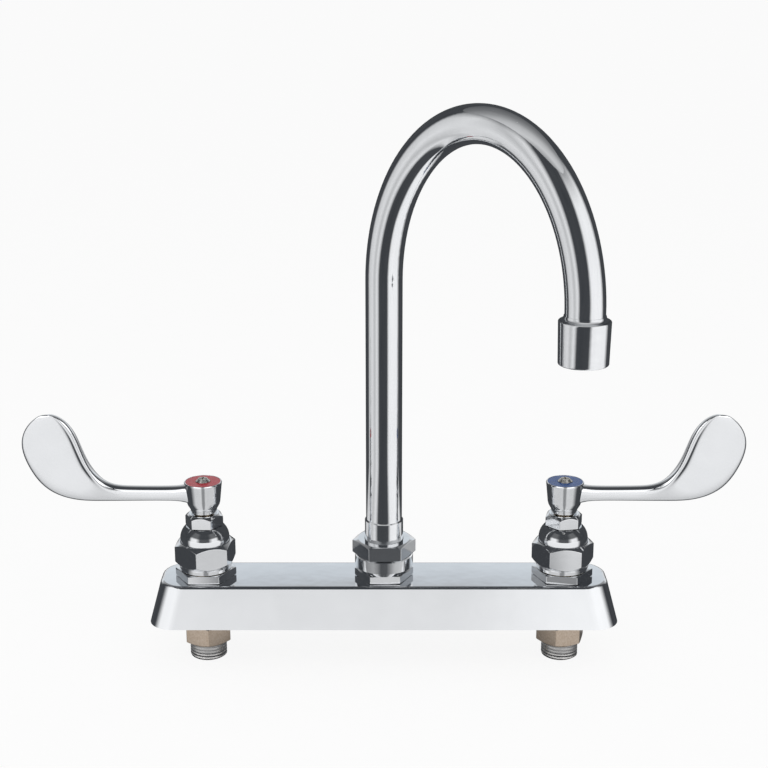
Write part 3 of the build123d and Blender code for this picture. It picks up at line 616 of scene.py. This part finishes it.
# %% Give every CAD piece its finish
finish = {
    "cast_brass": cast_brass, "raw_brass": raw_brass, "steel": steel, "index_red": index_red,
    "index_blue": index_blue, "rubber": rubber, "ceramic": ceramic, "white_plastic": white_plastic,
}
cast_pieces = ("deck_cover", "hot_lever", "cold_lever")
for name, piece in nodes.items():
    look = finish.get(slots[name], turned_chrome)
    if name in cast_pieces:
        look = cast_chrome
    if name == "gooseneck":
        look = drawn_chrome
    piece.data.materials.clear()
    piece.data.materials.append(look)
print("finished", len(nodes), "pieces")

# %% [markdown]
# ## Turning helpers
#
# The nuts, inlets and hubs are remodelled because a polished edge is never quite sharp: it is a narrow
# band that catches light, and the plain solids have none. All sizes below are in millimetres, and a piece
# is brought to metres when it is finished. A bore or a neck is a chain of circles, each one bridged to the
# next, because bridging also joins a circle to the outline of a nut.

# %% Circles, bridges and the finishing touch
ring_steps = 48
millimetre = 0.001
merge_distance = 0.001
hold_apart = 64.0


def circle(shape, radius, height, turn=0.0):
    """A circle of edges around the upright axis, whose corners lie beside the given angle."""
    made = bmesh.ops.create_circle(shape, segments=ring_steps, radius=radius)["verts"]
    half_step = math.pi / ring_steps
    bmesh.ops.rotate(shape, verts=made, matrix=Matrix.Rotation(math.radians(turn) + half_step, 3, "Z"))
    bmesh.ops.translate(shape, verts=made, vec=(0, 0, height))
    return list(dict.fromkeys(edge for vert in made for edge in vert.link_edges))


def bridge(shape, first, after):
    """Bridges two loops. The second is held up meanwhile, because the line from middle to middle tells Blender
    which way round the loops run, and two loops at one height have no such line."""
    ring = list(dict.fromkeys(vert for edge in after for vert in edge.verts))
    bmesh.ops.translate(shape, verts=ring, vec=(0, 0, hold_apart))
    bmesh.ops.bridge_loops(shape, edges=first + after)
    bmesh.ops.translate(shape, verts=ring, vec=(0, 0, -hold_apart))


def join_circles(shape, first, chain, last, turn=0.0):
    """Bridges one loop through circles of (radius, height) to another loop."""
    for radius, height in chain:
        after = circle(shape, radius, height, turn)
        bridge(shape, first, after)
        first = after
    bridge(shape, first, last)


def soften(shape, width, least_radius=0.0, angle=14.0):
    """Rounds the edges that are sharper than an angle and lie outside a radius."""
    bmesh.ops.remove_doubles(shape, verts=shape.verts, dist=merge_distance)
    bmesh.ops.recalc_face_normals(shape, faces=shape.faces)
    sharp = [edge for edge in shape.edges if len(edge.link_faces) == 2
             and edge.calc_face_angle() > math.radians(angle)
             and min(vert.co.xy.length for vert in edge.verts) > least_radius]
    bmesh.ops.bevel(shape, geom=sharp, offset=width, offset_type="OFFSET", segments=3, profile=0.5,
                    affect="EDGES", clamp_overlap=True, material=-1)


def put_in_place(name, shape, x, body, node, look):
    """Moves a finished shape to its axis, brings it to metres and lets it stand for its CAD node."""
    bmesh.ops.recalc_face_normals(shape, faces=shape.faces)
    bmesh.ops.translate(shape, verts=shape.verts, vec=(x, 0, 0))
    bmesh.ops.scale(shape, verts=shape.verts, vec=(millimetre, millimetre, millimetre))
    for face in shape.faces:
        face.smooth = True
    made = to_object(name, shape)
    made.data.materials.append(look)
    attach(made, body)
    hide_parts(node)
    return made


print("circles have", ring_steps, "sides")

# %% [markdown]
# ## Nuts
#
# A nut is sawn from a hexagon bar, and then its corners are turned off in a lathe, which leaves curved
# lines where the cone meets the flats. The same is done here: a hexagon is extruded and a ring of plane
# cuts, all touching the cone, takes the corners off. Every outer edge is then bevelled by about a quarter of a
# millimetre, and Weighted Normal keeps the flats flat between their soft edges.

# %% Saw and turn a nut
nut_sides = 6
cut_distance = 1e-5


def turned_blank(shape, flats, turn, outline):
    """A hexagon bar whose corners are turned off along a (radius, height) outline, and its two open ends."""
    corner = flats / 2 / math.cos(math.pi / nut_sides)
    low, high = outline[0][1], outline[-1][1]
    bar = bmesh.ops.create_circle(shape, cap_ends=True, segments=nut_sides, radius=corner)["verts"]
    bmesh.ops.rotate(shape, verts=bar, matrix=Matrix.Rotation(math.radians(turn - 90), 3, "Z"))
    raised = bmesh.ops.extrude_face_region(shape, geom=shape.faces[:])["geom"]
    top = [part for part in raised if isinstance(part, bmesh.types.BMVert)]
    bmesh.ops.translate(shape, verts=top, vec=(0, 0, high - low))
    bmesh.ops.translate(shape, verts=shape.verts, vec=(0, 0, low))
    bmesh.ops.recalc_face_normals(shape, faces=shape.faces)
    for (radius, height), (next_radius, next_height) in zip(outline, outline[1:]):
        if radius == next_radius:
            continue
        for step in range(ring_steps):
            angle = math.radians(turn) + math.tau * step / ring_steps
            side = Matrix.Rotation(angle, 3, "Z") @ Vector((1, 0, 0))
            cut = bmesh.ops.bisect_plane(
                shape, geom=[*shape.verts, *shape.edges, *shape.faces], dist=cut_distance, clear_outer=True,
                plane_co=side * radius + Vector((0, 0, height)),
                plane_no=side * (next_height - height) + Vector((0, 0, radius - next_radius)))
            rim = [part for part in cut["geom_cut"] if isinstance(part, bmesh.types.BMEdge)]
            if rim:
                bmesh.ops.edgeloop_fill(shape, edges=rim)
    ends = [pick(shape.faces, key=lambda face: face.calc_center_median().z) for pick in (min, max)]
    loops = [list(face.edges) for face in ends]
    bmesh.ops.delete(shape, geom=ends, context="FACES_ONLY")
    return loops


def nut(name, x, node, flats, turn, outline, bore, edge=0.25):
    """A chrome nut with a bore of (radius, height) circles and soft edges."""
    shape = bmesh.new()
    bottom, top = turned_blank(shape, flats, turn, outline)
    join_circles(shape, bottom, bore, top, turn)
    soften(shape, edge, least_radius=bore[-1][0] - 0.01)
    made = put_in_place(name, shape, x, "base", node, turned_chrome)
    made.modifiers.new("even_normals", "WEIGHTED_NORMAL")
    return made


def hexagon_outline(flats, low, high, bevel, low_bevel=0.3):
    """The turned outline of a plain hexagon. Its cones pass inside the flats, so they meet them all along."""
    clear, inset, overlap = 0.1, 0.8, 0.2
    corner = flats / 2 / math.cos(math.pi / nut_sides) + clear
    face = flats / 2 - inset
    steep = (corner - face) / (corner - flats / 2 + overlap)
    return [(face, low), (corner, low + low_bevel * steep), (corner, high - bevel * steep), (face, high)]


print("a nut is cut by", ring_steps, "planes at each end")

# %% [markdown]
# ## Nuts on the valves and the spout
#
# Each valve has three nuts. The clamp nut holds the cover down, the bonnet nut holds the dome on the valve, and
# the gland nut presses the packing against the spindle. The spout has a clamp nut and a swivel nut. Nuts
# stop where they are tight, so each has a turn of its own, read from where its corners are in the picture.

# %% Make the nuts
clamp_low, clamp_high = 21.5, 26.5
clamp_flats = {"hot": 30.0, "cold": 30.0, "spout": 29.0}
clamp_turns = {"hot": 1.0, "cold": -7.0, "spout": 2.5}
clamp_bore = [(13.05, clamp_low), (13.05, clamp_high)]
bonnet_flats = 30.6
bonnet_turns = {"hot": 20.0, "cold": 0.0}
bonnet_outline = [(14.4, 29.1), (17.8, 32.2), (17.8, 40.6), (14.5, 43.0)]
bonnet_bore = [(14.9, 28.9), (14.9, 26.7), (13.05, 26.7), (13.05, 36.5), (14.45, 36.5), (14.45, 41.45),
               (13.85, 41.45), (13.85, 43.0)]
gland_flats = 18.8
gland_turns = {"hot": -4.0, "cold": 12.0}
gland_outline = hexagon_outline(gland_flats, 52.0, 59.4, bevel=1.6)
gland_bore = [(7.5, 52.0), (7.5, 48.5), (5.05, 48.5), (5.05, 59.4)]
swivel_flats = 31.2
swivel_turn = 2.0
swivel_outline = hexagon_outline(swivel_flats, 35.5, 44.0, bevel=0.8)
swivel_bore = [(13.05, 35.5), (13.05, 41.7), (10.85, 41.7), (10.85, 44.0)]


def clamp_nut(place, x):
    """The flat nut that clamps the cover under a valve or under the spout."""
    flats = clamp_flats[place]
    return nut(f"{place}_clamp_hexagon", x, f"{place}_jam_nut", flats, clamp_turns[place],
               hexagon_outline(flats, clamp_low, clamp_high, bevel=0.4), clamp_bore)


nuts = []
for side, x in valves.items():
    nuts.append(clamp_nut(side, x))
    nuts.append(nut(f"{side}_bonnet_hexagon", x, f"{side}_bonnet_nut", bonnet_flats, bonnet_turns[side],
                    bonnet_outline, bonnet_bore))
    nuts.append(nut(f"{side}_gland_hexagon", x, f"{side}_gland_nut", gland_flats, gland_turns[side],
                    gland_outline, gland_bore))
nuts.append(clamp_nut("spout", 0.0))
nuts.append(nut("spout_swivel_hexagon", 0.0, "swivel_nut", swivel_flats, swivel_turn, swivel_outline,
                swivel_bore, edge=0.3))
print("nuts:", {piece.name: len(piece.data.polygons) for piece in nuts})

# %% [markdown]
# ## Inlets
#
# Each inlet is a brass hexagon that grips the valve body from below, with a half inch pipe thread that was
# plated before the hexagon was machined. The thread is a true helix: one groove's outline is spun with a
# little travel at each step, and a plane cuts it square at both ends.

# %% Make the inlets
pitch = 25.4 / 14
thread_turns = 6
thread_from, thread_low, thread_high = -17.0, -27.4, -19.0
thread_groove = [(9.65, 0.0), (10.45, -0.66), (10.45, -1.16), (9.65, -pitch)]
grip_flats = 25.0
grip_outline = hexagon_outline(grip_flats, -18.0, -6.0, bevel=1.0, low_bevel=1.0)
grip_turns = {"hot": 37.5, "cold": 14.5}
relief = [(9.5, -18.0), (9.5, -18.9)]
waterway = [(9.05, -28.0), (7.4, -28.0), (7.4, -0.05), (9.5, -0.05), (9.5, -6.0)]


def helix(shape, start, low, high):
    """A pipe thread around the upright axis, cut off level at two heights, and its two open ends."""
    before = set(shape.verts)
    corners = [shape.verts.new((radius, 0, start + height)) for radius, height in thread_groove]
    runs = [shape.edges.new(pair) for pair in zip(corners, corners[1:])]
    bmesh.ops.spin(shape, geom=[*corners, *runs], cent=(0, 0, 0), axis=(0, 0, 1),
                   dvec=(0, 0, -pitch / ring_steps), steps=ring_steps * thread_turns,
                   angle=math.tau * thread_turns, use_merge=False, use_duplicate=False)
    loops = []
    for height, away in ((low, -1), (high, 1)):
        thread = [vert for vert in shape.verts if vert not in before]
        bmesh.ops.remove_doubles(shape, verts=thread, dist=0.01)
        thread = [vert for vert in shape.verts if vert not in before]
        edges = list(dict.fromkeys(edge for vert in thread for edge in vert.link_edges))
        faces = list(dict.fromkeys(face for vert in thread for face in vert.link_faces))
        cut = bmesh.ops.bisect_plane(shape, geom=thread + edges + faces, dist=cut_distance, clear_outer=True,
                                     plane_co=(0, 0, height), plane_no=(0, 0, away))
        loops.append([part for part in cut["geom_cut"] if isinstance(part, bmesh.types.BMEdge)])
    return loops


def inlet(side, x):
    """Spigot, hexagon, helical thread and waterway of one inlet."""
    shape = bmesh.new()
    turn = grip_turns[side]
    bottom, top = turned_blank(shape, grip_flats, turn, grip_outline)
    thread_end, thread_start = helix(shape, thread_from, thread_low, thread_high)
    join_circles(shape, bottom, relief, thread_start, turn)
    join_circles(shape, thread_end, waterway, top, turn)
    soften(shape, 0.25, least_radius=11.3)
    made = put_in_place(f"{side}_threaded_inlet", shape, x, "base", f"{side}_inlet", inlet_metal)
    made.modifiers.new("even_normals", "WEIGHTED_NORMAL")
    return made


inlets = [inlet(side, x) for side, x in valves.items()]
print("inlets:", {piece.name: len(piece.data.polygons) for piece in inlets})

# %% [markdown]
# ## Hubs
#
# A hub is a turned cone on the spindle, with a pocket for the coloured ring and the screw in its top and a
# square socket in its foot. Its outline is spun, and the square, which is a circle of four edges cut into as
# many as the cone has, is bridged to it.

# %% Make the hubs
hub_foot = 60.2
socket_top = 73.1
socket_width = 7.3
hub_outline = [(2.1, socket_top), (2.1, 75.3), (4.2, 75.3), (4.2, 76.9), (9.85, 76.9), (9.85, 78.0),
               (10.3, 78.0), (10.6, 77.5), (10.53, 76.8), (9.45, 66.7), (9.4, 66.2), (8.9, 64.5), (8.1, 63.1),
               (7.45, 61.9), (7.2, hub_foot)]


def square(shape, width, height):
    """A square of edges around the upright axis, with as many edges as a circle."""
    made = bmesh.ops.create_circle(shape, segments=4, radius=width / math.sqrt(2))["verts"]
    bmesh.ops.rotate(shape, verts=made, matrix=Matrix.Rotation(math.pi / 4, 3, "Z"))
    bmesh.ops.translate(shape, verts=made, vec=(0, 0, height))
    edges = list(dict.fromkeys(edge for vert in made for edge in vert.link_edges))
    cut = bmesh.ops.subdivide_edges(shape, edges=edges, cuts=ring_steps // 4 - 1)
    return [part for part in cut["geom"] if isinstance(part, bmesh.types.BMEdge)]


def hub(side, x):
    """The turned hub of one handle."""
    shape = bmesh.new()
    corners = [shape.verts.new((radius, 0, height)) for radius, height in hub_outline]
    runs = [shape.edges.new(pair) for pair in zip(corners, corners[1:])]
    bmesh.ops.spin(shape, geom=[*corners, *runs], cent=(0, 0, 0), axis=(0, 0, 1), steps=ring_steps,
                   angle=math.tau, use_merge=True, use_duplicate=False)
    open_edges = [edge for edge in shape.edges if edge.is_boundary]
    middle = (hub_foot + socket_top) / 2
    foot = [edge for edge in open_edges if edge.verts[0].co.z < middle]
    hole = [edge for edge in open_edges if edge.verts[0].co.z > middle]
    low, high = square(shape, socket_width, hub_foot), square(shape, socket_width, socket_top)
    for first, after in ((foot, low), (low, high), (high, hole)):
        bridge(shape, first, after)
    soften(shape, 0.12, least_radius=4.0, angle=40.0)
    made = put_in_place(f"{side}_turned_hub", shape, x, f"{side}_handle", f"{side}_lever",
                        turned_chrome)
    made.modifiers.new("even_normals", "WEIGHTED_NORMAL")
    return made


hubs = [hub(side, x) for side, x in valves.items()]
print("hubs:", {piece.name: len(piece.data.polygons) for piece in hubs})

# %% [markdown]
# ## Wrist blades
#
# The handle is one casting: a rounded arm leaves the hub, bends up and spreads into a thin paddle, while the
# arm itself runs on as a rib along the paddle's inner edge with a shallow groove beside it. It is built as a
# row of closed sections, each drawn between two points of the side view and bridged to the next. Near the
# hub a section is a rounded bar, and in the paddle it is rib, groove and thin face. Subdivision smooths it.

# %% Make the blades
sections = [  # upper edge, lower edge, half depth, share of paddle, depth of groove
    ((2.0, 16.6), (2.0, 5.4), 5.6, 0.0, 0.0), ((8.0, 16.6), (8.0, 5.4), 5.4, 0.0, 0.0),
    ((11.0, 15.7), (11.0, 6.2), 4.6, 0.0, 0.0), ((15.0, 15.0), (15.0, 6.8), 4.1, 0.0, 0.0),
    ((26.0, 14.9), (26.0, 6.9), 4.0, 0.0, 0.0), ((38.0, 15.0), (38.0, 6.8), 4.0, 0.0, 0.0),
    ((46.0, 15.2), (47.0, 6.7), 4.0, 0.05, 0.0), ((51.0, 16.1), (54.5, 6.6), 4.0, 0.25, 0.0),
    ((55.3, 18.1), (62.0, 6.4), 4.0, 0.55, 0.0), ((58.8, 21.4), (69.5, 6.6), 3.9, 0.85, 0.15),
    ((61.6, 25.2), (77.0, 8.0), 3.8, 1.0, 0.7), ((63.8, 29.4), (84.4, 10.9), 3.7, 1.0, 1.0),
    ((65.6, 34.0), (91.6, 16.6), 3.5, 1.0, 1.0), ((67.4, 39.2), (97.4, 26.4), 3.3, 1.0, 1.0),
    ((69.2, 44.2), (100.58, 36.0), 3.1, 1.0, 0.9), ((71.8, 49.2), (100.2, 43.8), 2.8, 1.0, 0.6),
    ((75.4, 53.4), (96.8, 50.4), 2.5, 1.0, 0.2), ((79.8, 56.0), (92.0, 54.8), 2.2, 1.0, 0.0),
    ((83.6, 57.0), (88.6, 56.6), 1.5, 1.0, 0.0),
]
bar = [  # share of the way down, share of the half depth
    (0.0, 0.0), (0.06, 0.62), (0.25, 0.96), (0.42, 1.0), (0.54, 1.0), (0.65, 1.0), (0.77, 0.99), (0.90, 0.93),
    (0.98, 0.62), (1.0, 0.0),
]
rib_ways = (0.0, 0.4, 1.8, 3.3, 4.2)  # mm down from the upper edge
face_ways = (0.25, 0.60, 0.92, 0.982, 1.0)  # share of the rest of the way
plain_paddle = (0.0, 0.72, 0.96, 0.92, 0.86, 0.78, 0.68, 0.60, 0.44, 0.0)  # shares of the half depth
grooved_paddle = (0.0, 0.76, 0.98, 0.88, 0.54, 0.55, 0.60, 0.60, 0.44, 0.0)
full_section = 26.0  # mm, the length from which the rib has its full width


def blade_section(shape, upper, lower, depth, share, groove):
    """One closed section of a blade, front and back alike, at its place in the side view."""
    upper, lower = Vector((upper[0], 0, upper[1])), Vector((lower[0], 0, lower[1]))
    length = (lower - upper).length
    ways = [way * min(1.0, length / full_section) / length for way in rib_ways]
    ways += [ways[-1] + (1 - ways[-1]) * way for way in face_ways]
    front = []
    for (down, out), way, plain, grooved in zip(bar, ways, plain_paddle, grooved_paddle):
        thin = plain + (grooved - plain) * groove
        place = upper.lerp(lower, down + (way - down) * share)
        front.append(place - Vector((0, (out + (thin - out) * share) * depth, 0)))
    corners = [shape.verts.new(place) for place in front]
    corners += [shape.verts.new((place.x, -place.y, place.z)) for place in reversed(front[1:-1])]
    return [shape.edges.new(pair) for pair in zip(corners, corners[1:] + corners[:1])]


def blade(side, x):
    """The arm, rib and paddle of one handle."""
    shape = bmesh.new()
    loops = [blade_section(shape, *section) for section in sections]
    for first, after in zip(loops, loops[1:]):
        bmesh.ops.bridge_loops(shape, edges=first + after)
    for end in (loops[0], loops[-1]):
        bmesh.ops.contextual_create(shape, geom=end)
    bmesh.ops.translate(shape, verts=shape.verts, vec=(0, 0, hub_foot))
    if side == "hot":
        bmesh.ops.scale(shape, verts=shape.verts, vec=(-1, 1, 1))
    made = put_in_place(f"{side}_wrist_blade", shape, x, f"{side}_handle", f"{side}_lever",
                        cast_chrome)
    smooth = made.modifiers.new("smooth", "SUBSURF")
    smooth.levels = smooth.render_levels = 3
    return made


blades = [blade(side, x) for side, x in valves.items()]
print("blades:", {piece.name: len(piece.data.polygons) for piece in blades})

# %% [markdown]
# ## Light linking
#
# In a real studio small cards are held up so that each piece shows only its own light. Light linking does
# that here: a panel lights the pieces in its collection and no others. Every piece goes into the collection
# of the panel in front of it, and most also into that of the panel behind. The soft boxes light the handles
# and the floor.

# %% Link the panels to their pieces
swivel_set = ("spout_swivel_hexagon", "spout_collar")
domes = ("hot_bonnet", "cold_bonnet")
handles = (["hot_handle"], ["cold_handle"])
groups = {}
for name in [*panels.values(), "lamp"]:
    if name not in groups:
        groups[name] = bpy.data.collections.new(name + "_pieces")
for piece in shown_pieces():
    group = "base"
    if piece in inlets:
        group = "inlet"
    if piece.name == "deck_cover":
        group = "cover"
    if body_of(piece) == ["spout"]:
        group = "spout"
    if piece.name in swivel_set:
        group = "swivel"
    if piece.name in domes:
        group = "dome"
    groups[group].objects.link(piece)
    if group in ("base", "cover", "swivel"):
        groups["back"].objects.link(piece)
    if piece in blades:
        groups["rear"].objects.link(piece)
    if body_of(piece) in handles:
        groups["lamp"].objects.link(piece)
groups["lamp"].objects.link(floor)
for sheet, group in panels.items():
    sheet.light_linking.receiver_collection = groups[group]
for lamp in soft_boxes:
    lamp.light_linking.receiver_collection = groups["lamp"]
